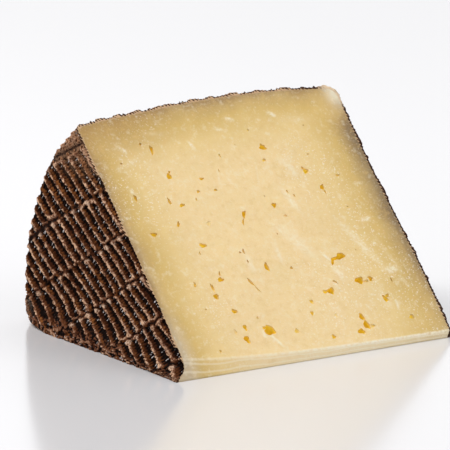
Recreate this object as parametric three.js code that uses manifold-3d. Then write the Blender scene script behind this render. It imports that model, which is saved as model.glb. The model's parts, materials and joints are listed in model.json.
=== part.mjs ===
import * as THREE from 'three';
import { mergeVertices } from 'three/addons/utils/BufferGeometryUtils.js';
import Module from 'manifold-3d';

// A wedge of cured sheep cheese: one sector of a small wheel, lying on one of its two cut faces.
// The wheel's axis runs along X, near the floor at the front. Its two flat ends and its round side
// are rind, printed by plaited grass mats, and the upper cut face slopes up to the back.
// Millimetres, +Z up, origin in the middle of the footprint, on the floor.

// The wheel
const crownRadius = 98.6;
const crownAt = 15;
const barrelFall = 0.00136;
const leftEnd = -49.1;
const leftDish = 2.4;
const rightEnd = 53.3;
const rightHollow = 2;
const hollowFrom = 18;
const hollowTo = 75;
const leftRim = 2;
const rightRim = 5;
const rightHeel = 3.6;
const fullTop = 1;
const fullFoot = 2.5;
const fullAcross = 30;
const fullInside = 55;
const fullRim = 92;
const turnSteps = 84;
const barrelSteps = 6;

// The two cuts, and the steep strip that the knife left along the front edge
const wedgeAngle = THREE.MathUtils.degToRad(48.1);
const frontEdge = 1.75;
const stripLeft = 8;
const stripRight = 2.6;
const stripFade = 34;
const wornEdge = 3.2;
const cutLength = 120;
const cutReach = crownRadius + 20;
const footFlare = 3.7;
const footHeight = 7.5;
const footFront = 2.2;
const footGrown = 20;
const footInside = 22;
const footCorner = 84;

// The print of the mats: rods in bands, with seams between the bands
const relief = 0.85;
const rodPitch = 3.9;
const rodCrest = 1.1;
const rodFlank = 0.55;
const rodRoot = 0.7;
const rodSink = 0.12;
const rodPoint = 1.3;
const rodWander = 0.6;
const widthWander = 0.2;
const rindSkin = 0.15;
const smallest = 0.1;
const bandLength = 16.5;
const seamGap = 1.1;
const seamSlant = 0.43;
const sideBands = 6;
const sideMargin = 3;
const sideSlant = THREE.MathUtils.degToRad(24);

// The left end's mat: a point on it, and the way its rods run
const matAcross = new THREE.Vector2(-0.574, 0.819);
const matAlong = new THREE.Vector2(-0.819, -0.574);
const matCentre = new THREE.Vector2(50, 30);
const bandShift = -9.8;

// Eyes of the upper cut face: place along the axis, distance from it, width, height, tilt in degrees
const eyes = [
  [24, 34.8, 3.4, 2.6, 10], [20.4, 33.6, 1.5, 3.2, -15], [26.8, 25.4, 3.6, 2.4, 5],
  [31.4, 25.4, 2.5, 2.2, 0], [15, 23, 3.5, 2.4, 0], [22, 13.2, 1.8, 2.8, 0],
  [22.5, 9.3, 2.5, 3, 10], [19.6, 7.6, 2.5, 2, 20], [-13, 13, 3.8, 3.6, 0],
  [-21.4, 15.4, 1.5, 2.4, 0], [-22.4, 11.4, 2.2, 2.8, 10], [33.7, 17.9, 2.4, 2.6, 0],
  [40.6, 10.1, 1.6, 1.9, 0], [13.4, 77.3, 2.6, 2.4, 0], [11.9, 72.9, 1.7, 1.4, 0],
  [25.5, 66.8, 2.4, 2.2, 0], [28.9, 60, 1.9, 2.5, 0], [8.1, 56, 2, 2.4, 0],
  [-4.4, 53.6, 1.7, 4.8, 65], [-25, 71.9, 2.2, 2.4, 0], [-27.4, 81.3, 1.5, 3.8, 0],
  [-40.6, 65, 1.5, 3, 0], [-29, 62.4, 1.3, 2.8, 0], [-24.6, 60.7, 2.4, 1.5, 0],
  [-39.3, 51.8, 2.4, 2, 0], [-29.1, 54.5, 1.4, 2, 0], [-23.6, 45.6, 3, 2, 0],
  [-4.4, 34.9, 2, 3.4, 20], [-22.6, 33, 2.4, 1.9, 0], [-26.9, 27.8, 2, 3, 15],
  [-32.5, 32.5, 1.4, 2.2, 0], [-11.8, 29.2, 1.4, 5, -62], [-22.6, 21.2, 2.2, 1.7, 0],
  [6.4, 20.9, 1.4, 2.2, 0], [4.6, 16.6, 1.4, 2, 0],
];
const eyeDepth = 0.62;
const eyeFloor = 0.25;
const eyeLift = 0.12;
const bigEye = 3;

// The middle of the footprint in the wheel's own frame, whose origin is on its axis
const middleX = (rightEnd + leftFace(footCorner) - footFlare) / 2;
const middleY = (crownRadius + frontEdge) / 2;

const wasm = await Module();
wasm.setup();

// Repeatable random numbers from 0 to 1.
function seeded(seed) {
  let state = seed;
  return () => {
    state = (state + 0x6d2b79f5) | 0;
    let t = Math.imul(state ^ (state >>> 15), 1 | state);
    t = (t + Math.imul(t ^ (t >>> 7), 61 | t)) ^ t;
    return ((t ^ (t >>> 14)) >>> 0) / 4294967296;
  };
}

// Moves every vertex of a geometry to where the place function puts it.
function shape(geometry, place) {
  const position = geometry.attributes.position;
  const point = new THREE.Vector3();
  for (let i = 0; i < position.count; i += 1) {
    point.fromBufferAttribute(position, i);
    place(point);
    position.setXYZ(i, point.x, point.y, point.z);
  }
  return geometry;
}

// Makes a closed solid of a geometry: shared vertices merged, flat-out faces dropped, and faces
// turned outwards where the geometry was shaped by a mirroring map.
function solid(geometry) {
  geometry.deleteAttribute('normal');
  geometry.deleteAttribute('uv');
  const merged = mergeVertices(geometry, 1e-4);
  const points = merged.attributes.position.array;
  const corner = (i) => new THREE.Vector3().fromArray(points, 3 * i);
  const faces = [];
  let volume = 0;
  for (let i = 0; i < merged.index.count; i += 3) {
    const [a, b, c] = merged.index.array.slice(i, i + 3);
    if (a !== b && b !== c && c !== a) {
      faces.push(a, b, c);
      volume += corner(a).dot(corner(b).cross(corner(c)));
    }
  }
  if (volume < 0) faces.reverse();
  const triVerts = Uint32Array.from(faces);
  const vertProperties = Float32Array.from(points);
  return new wasm.Manifold(new wasm.Mesh({ numProp: 3, vertProperties, triVerts }));
}

function joined(solids) {
  return solids.reduce((whole, piece) => whole.add(piece));
}

// Radius of the wheel's round side: a barrel, fullest to the right of the middle.
function sideRadius(x) {
  return crownRadius - barrelFall * (x - crownAt) ** 2;
}

// Left end: slightly dished, by the square of the distance from the axis.
function leftFace(radius) {
  return leftEnd - leftDish * (radius / 90) ** 2;
}

// Right end: hollow towards the rim, by a smooth step between two distances from the axis.
function rightFace(radius) {
  return rightEnd - rightHollow * THREE.MathUtils.smoothstep(radius, hollowFrom, hollowTo);
}

// The wheel as one turned profile, with the rind drawn in by the depth inset: the left end out to
// its rounded rim, the barrel of the side, and the right end back to its rounded heel.
function wheel(inset) {
  const profile = [];
  const add = (radius, x) => profile.push(new THREE.Vector2(radius, x));
  const quarter = [0, 1, 2, 3, 4].map((step) => (step / 4) * Math.PI / 2);
  for (const radius of [0, 32, 64]) add(radius, leftFace(radius) + inset);
  const leftCorner = sideRadius(leftFace(crownRadius)) - leftRim;
  const leftX = leftFace(leftCorner) + leftRim;
  for (const turn of quarter) {
    const radius = leftCorner + (leftRim - inset) * Math.sin(turn);
    add(radius, leftX - (leftRim - inset) * Math.cos(turn));
  }
  const rightX = rightFace(crownRadius) - rightRim;
  const rightCorner = sideRadius(rightX) - rightRim;
  for (let step = 1; step < barrelSteps; step += 1) {
    const x = THREE.MathUtils.lerp(leftX, rightX, step / barrelSteps);
    add(sideRadius(x) - inset, x);
  }
  quarter.reverse();
  for (const turn of quarter) {
    const radius = rightCorner + (rightRim - inset) * Math.sin(turn);
    add(radius, rightX + (rightRim - inset) * Math.cos(turn));
  }
  for (const radius of [72, 46, 20]) add(radius, rightFace(radius) - inset);
  for (const turn of quarter) {
    const sunk = rightHeel * (1 - Math.sin(turn)) ** 2;
    add(rightHeel * Math.sin(turn), rightEnd - inset - sunk);
  }
  const turned = new THREE.LatheGeometry(profile, turnSteps);
  return solid(turned.rotateZ(-Math.PI / 2));
}

// Distance of the strip's crest from the axis: high at the left and fading to the right.
function stripCrest(x) {
  const share = Math.exp(-(x - leftEnd) / stripFade);
  return stripRight + (stripLeft - stripRight) * share;
}

// The space between the two cuts: a box whose cross-section is drawn into a wedge at each station.
function wedge() {
  const block = new THREE.BoxGeometry(cutLength, 2, 2, 16, 1, 1);
  return solid(shape(block, (point) => {
    const reach = point.y > 0 ? cutReach : stripCrest(point.x);
    const foot = point.y > 0 ? cutReach : frontEdge;
    if (point.z < 0) point.set(point.x, foot, 0);
    else point.set(point.x, reach * Math.cos(wedgeAngle), reach * Math.sin(wedgeAngle));
  }));
}

// What is worn off the floor edge at the back: the space outside a quarter circle, which follows
// the barrel of the side.
function wornStrip() {
  const outline = new THREE.Shape();
  outline.moveTo(-wornEdge, -2);
  outline.lineTo(6, -2);
  outline.lineTo(6, wornEdge);
  outline.lineTo(0, wornEdge);
  outline.absarc(-wornEdge, wornEdge, wornEdge, 0, -Math.PI / 2, true);
  const settings = { depth: cutLength, steps: 12, bevelEnabled: false, curveSegments: 4 };
  return solid(shape(new THREE.ExtrudeGeometry(outline, settings), (point) => {
    const x = point.z - cutLength / 2;
    point.set(x, sideRadius(x) + point.x, point.y);
  }));
}

// One rod of a mat: a long outline with sloping flanks, its crest at height 0 and its root below
// the rind. Its two ends are points, or blunt where point is 0. The place function bends it onto
// the wheel.
function rod(length, width, point, place) {
  const half = length / 2;
  const outline = new THREE.Shape();
  outline.moveTo(-half + point, -width / 2);
  outline.lineTo(half - point, -width / 2);
  if (point > 0) outline.lineTo(half, 0);
  outline.lineTo(half - point, width / 2);
  outline.lineTo(-half + point, width / 2);
  if (point > 0) outline.lineTo(-half, 0);
  outline.closePath();
  const settings = {
    depth: rodRoot,
    bevelEnabled: true,
    bevelSegments: 1,
    bevelSize: rodFlank,
    bevelThickness: relief + rodSink,
  };
  const bar = new THREE.ExtrudeGeometry(outline, settings);
  bar.translate(0, 0, -rodRoot - relief - rodSink);
  return solid(shape(bar, place));
}

// The mat on a flat end. Rods lie side by side across it, and slanted seams end them.
function endMat(face, outward, point, seed) {
  const random = seeded(seed);
  const rods = [];
  const wander = (size) => size * (random() - 0.5);
  for (let across = -13; across <= 15; across += 1) {
    for (let band = -5; band <= 5; band += 1) {
      const u = (across + 0.12 * (band % 2)) * rodPitch + wander(rodWander);
      const v = band * bandLength + bandShift + seamSlant * u + wander(rodWander);
      const length = bandLength - 2 * seamGap + wander(rodWander);
      const width = rodCrest * (1 + widthWander + wander(2 * widthWander));
      const y = matCentre.x + u * matAcross.x + v * matAlong.x;
      const z = matCentre.y + u * matAcross.y + v * matAlong.y;
      const beside = Math.max(-z, z * Math.cos(wedgeAngle) - y * Math.sin(wedgeAngle));
      if (Math.hypot(y, z) > crownRadius + length / 2 || beside > length / 2) continue;
      rods.push(rod(length, width, point, (spot) => {
        const yy = y + spot.x * matAlong.x + spot.y * matAcross.x;
        const zz = z + spot.x * matAlong.y + spot.y * matAcross.y;
        spot.set(face(Math.hypot(yy, zz)) + outward * spot.z, yy, zz);
      }));
    }
  }
  return joined(rods);
}

// The mat round the side: bands that run round the wheel, with rods slanted in turn to one side
// and the other.
function sideMat(seed) {
  const random = seeded(seed);
  const rods = [];
  const wander = (size) => size * (random() - 0.5);
  const band = (rightEnd - leftEnd + 2 * sideMargin) / sideBands;
  const pitch = rodPitch / Math.cos(sideSlant) / crownRadius;
  for (let ring = 0; ring < sideBands; ring += 1) {
    const slant = ring % 2 ? sideSlant : -sideSlant;
    const middle = leftEnd - sideMargin + band * (ring + 0.5);
    for (let angle = -pitch; angle < wedgeAngle + pitch; angle += pitch) {
      const turn = angle + (pitch * (ring % 2)) / 3 + wander(rodWander) / crownRadius;
      const width = rodCrest * (1 + widthWander + wander(2 * widthWander));
      const length = band / Math.cos(slant) - 1.6 * seamGap + wander(rodWander);
      rods.push(rod(length, width, 0, (spot) => {
        const x = middle + spot.x * Math.cos(slant) - spot.y * Math.sin(slant);
        const round = spot.x * Math.sin(slant) + spot.y * Math.cos(slant);
        const radius = sideRadius(x) + spot.z;
        const phi = turn + round / crownRadius;
        spot.set(x, radius * Math.cos(phi), radius * Math.sin(phi));
      }));
    }
  }
  return joined(rods);
}

// One eye: a lumpy ball, flattened and sunk to its middle in the upper cut face.
function eye([x, distance, width, height, tilt], random) {
  const ball = new THREE.IcosahedronGeometry(1, Math.max(width, height) > bigEye ? 1 : 0);
  const lump = 0.16 + 0.1 * random();
  const phase = 2 * Math.PI * random();
  const depth = eyeDepth * Math.min(width, height) + eyeFloor;
  shape(ball, (point) => {
    const angle = Math.atan2(point.y, point.x);
    const swell = lump * Math.sin(2 * angle + phase) + 0.1 * Math.sin(3 * angle - phase);
    point.multiplyScalar(1 + swell);
    point.set((point.x * width) / 2, (point.y * height) / 2, point.z * depth + eyeLift);
  });
  ball.rotateZ(THREE.MathUtils.degToRad(tilt));
  ball.translate(x, distance, 0);
  return solid(ball.rotateX(wedgeAngle));
}

const mats = joined([
  endMat(leftFace, -1, rodPoint, 11),
  endMat(rightFace, 1, 0, 23),
  sideMat(37),
]).intersect(wheel(-rindSkin));

// The largest of the closed surfaces of a solid, without scraps and sealed hollows.
function largest(whole) {
  return whole.decompose().reduce((a, b) => (b.volume() > a.volume() ? b : a));
}

const random = seeded(5);
const cheese = wheel(relief)
  .add(mats)
  .intersect(wedge())
  .subtract(wornStrip())
  .subtract(joined(eyes.map((row) => eye(row, random))))
  .asOriginal()
  .simplify(smallest);

// The foot of the left end: pressed outwards near the floor, by a bell curve of the height that
// is low at the front edge and fades out at the back corner and towards the inside.
function flareFoot(point) {
  const inside = THREE.MathUtils.smoothstep(leftEnd + footInside - point.x, 0, footInside);
  const corner = THREE.MathUtils.smoothstep(crownRadius - point.y, 3, crownRadius - footCorner);
  const back = THREE.MathUtils.smoothstep(point.y, frontEdge, footGrown);
  const height = THREE.MathUtils.lerp(footFront, footHeight, back);
  point.x -= footFlare * inside * corner * Math.exp(-((point.z / height) ** 2));
}

// The left end's rim is fuller than round: drawn outwards from the axis by smooth steps of the place
// along the axis, the distance from it and the angle above the floor.
function fillRim(point) {
  const radius = Math.hypot(point.y, point.z);
  const along = THREE.MathUtils.smoothstep(leftEnd + fullAcross - point.x, 0, fullAcross);
  const turn = Math.atan2(point.z, point.y) / wedgeAngle;
  const low = THREE.MathUtils.smoothstep(1 - turn, 0, 0.28);
  const out = along * THREE.MathUtils.smoothstep(radius, fullInside, fullRim);
  const grown = 1 + ((fullTop + fullFoot * low) * out) / Math.max(radius, 1);
  point.y *= grown;
  point.z *= grown;
}

// A mesh with flat faces from the finished solid, moved to the middle of its footprint.
function faceted(whole) {
  const { vertProperties, triVerts } = whole.getMesh();
  const geometry = new THREE.BufferGeometry();
  geometry.setAttribute('position', new THREE.BufferAttribute(vertProperties, 3));
  geometry.setIndex(new THREE.BufferAttribute(triVerts, 1));
  shape(shape(geometry, fillRim), flareFoot);
  return geometry.translate(-middleX, -middleY, 0);
}

const paste = new THREE.MeshStandardMaterial({
  color: 0xdcc98c,
  roughness: 0.5,
  metalness: 0,
  flatShading: true,
});

const wedgeMesh = new THREE.Mesh(faceted(largest(cheese)), paste);
wedgeMesh.name = 'cheese_wedge';

const whole = new THREE.Group();
whole.add(wedgeMesh);

export default whole;
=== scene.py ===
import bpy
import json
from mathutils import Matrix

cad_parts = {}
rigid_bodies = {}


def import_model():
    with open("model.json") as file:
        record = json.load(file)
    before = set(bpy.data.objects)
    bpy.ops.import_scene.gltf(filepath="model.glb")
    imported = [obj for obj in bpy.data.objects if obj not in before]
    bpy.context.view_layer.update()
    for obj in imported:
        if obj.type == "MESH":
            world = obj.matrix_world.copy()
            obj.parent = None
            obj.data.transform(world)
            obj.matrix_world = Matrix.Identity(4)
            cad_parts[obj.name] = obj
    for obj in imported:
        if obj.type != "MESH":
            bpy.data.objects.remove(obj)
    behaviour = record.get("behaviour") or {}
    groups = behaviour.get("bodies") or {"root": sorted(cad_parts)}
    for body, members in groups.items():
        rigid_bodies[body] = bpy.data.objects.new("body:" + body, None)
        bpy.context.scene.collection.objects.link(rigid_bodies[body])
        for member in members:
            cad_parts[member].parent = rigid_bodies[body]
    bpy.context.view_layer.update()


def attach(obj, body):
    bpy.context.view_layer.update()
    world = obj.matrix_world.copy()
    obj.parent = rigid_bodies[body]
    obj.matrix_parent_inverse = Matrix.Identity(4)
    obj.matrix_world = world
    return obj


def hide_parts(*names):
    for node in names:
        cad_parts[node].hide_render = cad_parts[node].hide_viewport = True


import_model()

import json

import bpy
import numpy as np
from mathutils import Matrix, Vector

# The rind of the left end, the one with the print of a plaited grass mat.
# It is the outermost millimetre of the cheese itself: hardened, rubbed with oil and darkened with
# age. The mat's rods left tan ridges, and the gaps between its strands left dark toothed slots.

# The wheel that the wedge was cut from, in millimetres. Its axis is the x axis, and its round side is
# fullest at CROWN_AT, from where it falls off by the square of the distance.
CROWN_RADIUS = 98.6
CROWN_AT = 15.0
BARREL_FALL = 0.00136

# The wheel's flat ends: the left one is dished, by LEFT_DISH at DISH_RADIUS from the axis, and the
# right one is hollow towards its rim and rounded off at the axis.
LEFT_END = -49.1
LEFT_DISH = 2.4
DISH_RADIUS = 90.0
RIGHT_END = 53.3
RIGHT_HOLLOW = 2.0
HOLLOW_FROM = 18.0
HOLLOW_TO = 75.0
RIGHT_HEEL = 3.6

# The radii of the rounded rims
LEFT_RIM = 2.0
RIGHT_RIM = 5.0

# The wedge's angle, the way outwards along its upper cut in y and z, the front edge's distance from
# the axis, and the width of the strip that the knife left along the front, wider at the left
WEDGE_ANGLE = np.radians(48.1)
CUT_OUT = np.cos(WEDGE_ANGLE)
CUT_UP = np.sin(WEDGE_ANGLE)
FRONT_EDGE = 1.75
STRIP_LEFT = 8.0
STRIP_RIGHT = 2.6
STRIP_FADE = 34.0

# The rind's thickness
RIND_DEPTH = 1.35


def smooth(low, high, value):
    """0 below low, 1 above high, and 3t^2 - 2t^3 between them."""
    t = np.clip((value - low) / (high - low), 0, 1)
    return t * t * (3 - 2 * t)


def side_radius(x):
    """Radius of the round side at x: a parabola, fullest at CROWN_AT."""
    return CROWN_RADIUS - BARREL_FALL * (x - CROWN_AT) ** 2


def left_face(r):
    """The left end's x at distance r from the axis: dished by the square of r."""
    return LEFT_END - LEFT_DISH * (r / DISH_RADIUS) ** 2


def right_face(r):
    """The right end's x at distance r: hollow towards the rim, and rounded off at the axis."""
    heel = np.clip(1 - r / RIGHT_HEEL, 0, 1)
    return RIGHT_END - RIGHT_HOLLOW * smooth(HOLLOW_FROM, HOLLOW_TO, r) - RIGHT_HEEL * heel**2


def strip_crest(x):
    """Distance from the axis of the crest of the knife's strip along the front: an exponential fall."""
    along = np.maximum(x - LEFT_END, RIND_DEPTH)
    return STRIP_RIGHT + (STRIP_LEFT - STRIP_RIGHT) * np.exp(-along / STRIP_FADE)


def front_radius(x, turn):
    """Distance from the axis at which the strip starts, at an angle turn above the floor. The strip is
    the straight line from the front edge, on the floor, to its crest, on the upper cut."""
    crest = strip_crest(x)
    rise = crest * CUT_UP
    run = crest * CUT_OUT - FRONT_EDGE
    return FRONT_EDGE * rise / (rise * np.cos(turn) - run * np.sin(turn))


LEFT_CORNER = side_radius(left_face(CROWN_RADIUS)) - LEFT_RIM
LEFT_TURN = left_face(LEFT_CORNER) + LEFT_RIM
RIGHT_TURN = right_face(CROWN_RADIUS) - RIGHT_RIM
RIGHT_CORNER = side_radius(RIGHT_TURN) - RIGHT_RIM

# The same wheel as one outline, from the axis on the left, over the side, to the axis on the right
END_STEPS = 400
RIM_STEPS = 60
SIDE_STEPS = 500


def outline():
    """Rows of points x, r: the left end, a quarter circle, the barrel, a quarter circle, the right end."""
    r_left = np.linspace(0, LEFT_CORNER, END_STEPS)[:-1]
    quarter = np.linspace(0, np.pi / 2, RIM_STEPS)
    x_side = np.linspace(LEFT_TURN, RIGHT_TURN, SIDE_STEPS)[1:-1]
    r_right = np.linspace(RIGHT_CORNER, 0, END_STEPS)[1:]
    x = np.concatenate([
        left_face(r_left),
        LEFT_TURN - LEFT_RIM * np.cos(quarter),
        x_side,
        RIGHT_TURN + RIGHT_RIM * np.sin(quarter),
        right_face(r_right),
    ])
    r = np.concatenate([
        r_left,
        LEFT_CORNER + LEFT_RIM * np.sin(quarter),
        side_radius(x_side),
        RIGHT_CORNER + RIGHT_RIM * np.cos(quarter),
        r_right,
    ])
    return x, r


OUTLINE_X, OUTLINE_R = outline()
OUTLINE_LENGTH = np.concatenate([[0], np.cumsum(np.hypot(np.diff(OUTLINE_X), np.diff(OUTLINE_R)))])


def left_length(r):
    """Length along the outline at which the left end lies r from the axis."""
    return np.interp(r, OUTLINE_R[:END_STEPS], OUTLINE_LENGTH[:END_STEPS])


def right_length(r):
    """Length along the outline at which the right end lies r from the axis."""
    return np.interp(-r, -OUTLINE_R[-END_STEPS:], OUTLINE_LENGTH[-END_STEPS:])


# Where the rind's pieces meet: half way round each rim
LEFT_SEAM = left_length(LEFT_CORNER) + LEFT_RIM * np.pi / 4
RIGHT_SEAM = right_length(RIGHT_CORNER) - RIGHT_RIM * np.pi / 4

NORMAL_STEP = 0.4
SQUARE_NEAR_AXIS = (2, 8)


def on_outline(length):
    """x, r and the outward normal of the outline at a length along it. Near the axis the normal is
    square to the end, so that what is moved along it stays in the plane of the strip."""
    x = np.interp(length, OUTLINE_LENGTH, OUTLINE_X)
    r = np.interp(length, OUTLINE_LENGTH, OUTLINE_R)
    behind, ahead = length - NORMAL_STEP, length + NORMAL_STEP
    dx = np.interp(ahead, OUTLINE_LENGTH, OUTLINE_X) - np.interp(behind, OUTLINE_LENGTH, OUTLINE_X)
    dr = np.interp(ahead, OUTLINE_LENGTH, OUTLINE_R) - np.interp(behind, OUTLINE_LENGTH, OUTLINE_R)
    tilt = dx / np.hypot(dx, dr) * smooth(*SQUARE_NEAR_AXIS, r)
    return x, r, np.sqrt(1 - tilt**2) * np.sign(-dr), tilt


def lattice(i, j, seed):
    """A repeatable random number from 0 to 1 for each pair of whole numbers."""
    h = np.sin(i * 127.1 + j * 311.7 + seed * 74.7) * 43758.5453
    return h - np.floor(h)


def noise(u, v, seed):
    """Value noise from 0 to 1: the lattice's numbers, blended smoothly between whole coordinates."""
    i, j = np.floor(u), np.floor(v)
    a, b = smooth(0, 1, u - i), smooth(0, 1, v - j)
    low = lattice(i, j, seed) * (1 - a) + lattice(i + 1, j, seed) * a
    high = lattice(i, j + 1, seed) * (1 - a) + lattice(i + 1, j + 1, seed) * a
    return low * (1 - b) + high * b


# The mat's print, in millimetres: the depth of its slots, the pitch of its rods, and the bands that
# slanted seams cut the rods into
RELIEF = 1.2
ROD_PITCH = 3.9
SLOT_HALF = 1.5
TOOTH_PITCH = 1.15
BAND_LENGTH = 16.5
BAND_SHIFT = -9.8
SEAM_SLANT = 0.43
SEAM_GAP = 2.8

# How uneven the print is, in millimetres, apart from ROD_SWAY, which is in pitches
ROD_SWAY = 0.1
SWAY_LENGTH = 6.0
SLOT_WANDER = 0.6
SLOT_SHIFT = 1.3
SLOT_LONGER = 0.2
SLOT_SHORTER = 1.5
ROUGH_BROAD = 0.5
ROUGH_FINE = 0.55
TOOTH_BITE = 0.3

# The heights of the print's parts, as shares of RELIEF
CREST_LOW = 0.86
SLOPE_HIGH = 0.72
TOOTH_HIGH = 0.5
KNOT_HIGH = 0.85
SEAM_SUNK = 0.35
CRUMBS = 0.3
PRINTS = ("ridge", "slope", "tooth", "knot", "groove")


def slots(across, along, band, start, seed):
    """The print at a place given as millimetres across the rods, millimetres along them from the
    middle of the band, and the band's number: its height, and the shares of each of PRINTS. Each slot
    is the inside of a long round-ended outline: steep on one side, and on the other a slope that climbs
    to the ridge by a smooth step. A cosine along the slot makes its teeth, which also break up the
    slope's foot and the outline. Knots stand at one end of the ridges."""
    sway = ROD_SWAY * np.sin(along / SWAY_LENGTH + 6 * lattice(band, 5, seed))
    place = (across - start) / ROD_PITCH + sway
    number = np.floor(place + 0.5)
    aside = (place - number) * ROD_PITCH
    beside = number + np.where(aside > 0, 0.5, -0.5)
    aside = aside + SLOT_WANDER * (noise(along / 5 + 40, number * 3.1 + band * 7.7, seed) - 0.5)
    half = 0.5 * BAND_LENGTH + SLOT_LONGER - SLOT_SHORTER * lattice(number, band, seed + 1)
    moved = along - SLOT_SHIFT * (lattice(number, band, seed + 2) - 0.5)
    wide = SLOT_HALF * (0.9 + 0.2 * lattice(number, band, seed + 3))
    phase = moved + lattice(number, band, seed + 5) + 0.5 * (noise(along, number, seed) - 0.5) + 0.4 * aside
    beat = 0.5 + 0.5 * np.cos(2 * np.pi * phase / TOOTH_PITCH)
    lucky = lattice(np.floor(phase / TOOTH_PITCH + 0.5), number + 17 * band, seed + 6)
    rough = ROUGH_BROAD * (noise(across * 0.9, along * 0.8, seed + 4) - 0.5)
    rough = rough + ROUGH_FINE * (noise(across * 2.4, along * 2.4, seed + 8) - 0.5)
    outside = np.hypot(aside, np.maximum(np.abs(moved) - (half - wide), 0)) - wide
    outside = outside + rough + TOOTH_BITE * (beat - 0.55)
    ridge = smooth(-0.32, 0.3, outside)
    foot = aside + 1.3 * rough + 1.1 * (0.5 - beat) * (0.4 + 0.6 * lucky)
    slope = smooth(-0.35, -1.6, foot)
    tooth = beat**1.5 * (0.35 + 0.65 * smooth(0.5, 0.75, lucky)) * (1 - ridge)
    tooth = tooth * smooth(-0.7, 0.1, aside) * smooth(1.5, 0.9, aside)
    seam = smooth(1.1, 0.2, np.abs(np.abs(along) - 0.5 * BAND_LENGTH) + 1.5 * rough)
    end = np.hypot(along + 0.5 * BAND_LENGTH - 1.0, np.abs(aside) - 0.5 * ROD_PITCH)
    knot = smooth(1.1, 0.4, end + 1.8 * rough) * smooth(0.35, 0.8, lattice(beside, band, seed + 10))
    crest = CREST_LOW + (1 - CREST_LOW) * noise(across / 2, along / 5, seed + 9)
    crest = crest - SEAM_SUNK * seam * (1 - knot)
    high = np.maximum(ridge * crest, SLOPE_HIGH * slope)
    high = np.maximum(high, np.maximum(TOOTH_HIGH * tooth, KNOT_HIGH * knot))
    high = high + CRUMBS * (noise(across * 1.9, along * 1.9, seed + 7) - 0.5)
    ridge = np.maximum(ridge * (1 - 0.75 * seam), knot)
    return high, np.stack([ridge, slope * (1 - ridge), tooth, knot, 0 * ridge])


# The mat's own axes on the flat ends, as directions in y and z, the place that they start from, and
# the grooves along its seams
MAT_ACROSS = (-0.574, 0.819)
MAT_ALONG = (-0.819, -0.574)
MAT_CENTRE = (50.0, 30.0)
GROOVE_HALF = 0.55
SECOND_GROOVE_HALF = 0.7
SECOND_GROOVE = 0.6
GROOVE_HIGH = 0.1


def end_print(y, z, seed):
    """The print on a flat end at a place y, z: the place is turned to the rods' own axes, and slanted
    seams cut the rods into bands. The seam nearest the rim is SEAM_GAP wider, with a smooth dark groove
    along it, a bell curve across, and the next one has such a groove only near the rim."""
    dy, dz = y - MAT_CENTRE[0], z - MAT_CENTRE[1]
    across = dy * MAT_ACROSS[0] + dz * MAT_ACROSS[1]
    rods = dy * MAT_ALONG[0] + dz * MAT_ALONG[1]
    sheared = rods - SEAM_SLANT * across + 0.9 * (noise(across / 5, rods / 9, seed + 9) - 0.5)
    last = BAND_SHIFT - 1.5 * BAND_LENGTH
    place = sheared + np.clip(last - sheared, 0, SEAM_GAP)
    band = np.round((place - BAND_SHIFT) / BAND_LENGTH)
    along = place - BAND_SHIFT - band * BAND_LENGTH
    start = 0.5 - 0.6 * (band + 2) + 0.8 * (lattice(band, 3, seed) - 0.5)
    high, shares = slots(across, along, band, start, seed)
    groove = np.exp(-(((sheared - last + 0.5 * SEAM_GAP) / GROOVE_HALF) ** 2))
    second = np.exp(-(((sheared - last - BAND_LENGTH) / SECOND_GROOVE_HALF) ** 2))
    groove = np.maximum(groove, SECOND_GROOVE * second * smooth(-20, -24, rods))
    shares = shares * (1 - groove)
    shares[-1] = groove
    return high * (1 - groove) + GROOVE_HIGH * groove, shares


SIDE_SLANT = np.radians(24)
SIDE_BANDS = 6
SIDE_WIDTH = (OUTLINE_LENGTH[-1] - LEFT_CORNER - RIGHT_CORNER) / SIDE_BANDS
SIDE_TOOTH_HIGH = 0.5


def side_print(length, turn, seed):
    """The print round the side: bands of slanted rods that lean in turn to one side and the other,
    with higher teeth than on the ends."""
    row = (length - LEFT_CORNER) / SIDE_WIDTH - 0.5
    band = np.round(row)
    along = (row - band) * SIDE_WIDTH
    lean = np.where(band % 2 == 0, 1.0, -1.0) * np.tan(SIDE_SLANT)
    across = (turn * CROWN_RADIUS + lean * along) * np.cos(SIDE_SLANT)
    high, shares = slots(across, along * BAND_LENGTH / SIDE_WIDTH, band, lean, seed)
    tooth = shares[PRINTS.index("tooth")]
    return high + SIDE_TOOTH_HIGH * tooth, shares


CRUSHED_MOST = 0.8


def muddled(high, shares, length, turn, y, z):
    """Near the floor, the print is crushed into lumps: both are mixed towards two sizes of noise by a
    smooth step of the height above the floor."""
    crushed = smooth(10, 2, z + 2 * noise(y / 6, z / 4, 51)) * smooth(15, 55, y) + smooth(2.5, 0.8, z)
    crushed = np.clip(crushed, 0, 1) * CRUSHED_MOST
    lumps = noise(length * 0.95, turn * 92, 3) * 0.7 + 0.5 * noise(length * 2.1, turn * 190, 4) - 0.1
    ridge, slope, tooth, knot, groove = shares
    ridge = ridge * (1 - crushed) + smooth(0.3, 0.75, lumps) * crushed
    # Among the lumps the teeth's share becomes noise, which places painted glints and sheen there
    tooth = tooth * (1 - crushed) + 0.8 * smooth(0.55, 0.85, noise(length * 1.3, turn * 120, 6)) * crushed
    return high * (1 - crushed) + lumps * crushed, np.stack([ridge, slope, tooth, knot, groove])


def worn_share(length, turn):
    """How far the print is rubbed away: at the upper ends of the rims and at the back foot of the left
    end, by smooth steps of the distance from the rim and of the angle, broken up by noise."""
    from_left, from_right = np.abs(length - LEFT_SEAM), np.abs(length - RIGHT_SEAM)
    worn = smooth(5, 1, from_left) * smooth(0.6, 0.84, turn)
    worn = np.maximum(worn, smooth(5, 1, from_right) * smooth(0.7, 0.84, turn))
    worn = np.maximum(worn, 0.5 * smooth(10, 3, from_left) * smooth(0.12, 0.03, turn))
    return worn * (0.55 + 0.45 * smooth(0.3, 0.6, noise(length / 1.1, turn * 80, 71)))


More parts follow.
